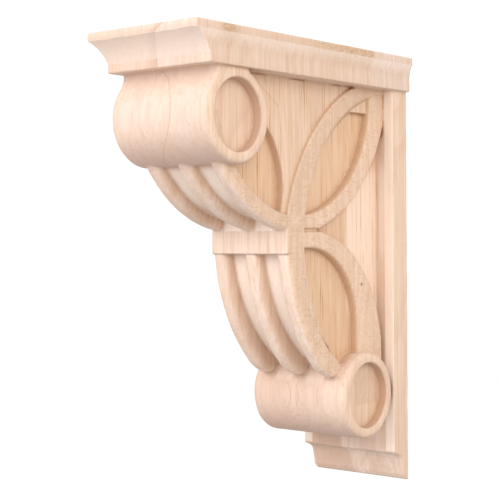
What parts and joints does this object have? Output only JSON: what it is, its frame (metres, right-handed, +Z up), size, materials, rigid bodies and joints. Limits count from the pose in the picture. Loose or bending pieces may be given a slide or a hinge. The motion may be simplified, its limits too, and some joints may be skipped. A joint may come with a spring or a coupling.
{
  "type": "wooden corbel bracket",
  "caption": "Carved hardwood corbel with a moulded cap, two scrolls joined by reeded bellies, leaf-shaped side pockets and a flat back plate.",
  "frame": {"origin": "middle of the flat back face, at half the height of the corbel", "axes": "+Z up along the wall, +Y into the wall (the carved front faces -Y), +X to the corbel's right seen along +Y"},
  "size_m": [0.099, 0.253, 0.33],
  "materials": {
    "wood": "bare sanded light hardwood, unfinished"
  },
  "bodies": {
    "root": {"corbel": "wood"}
  },
  "joints": []
}
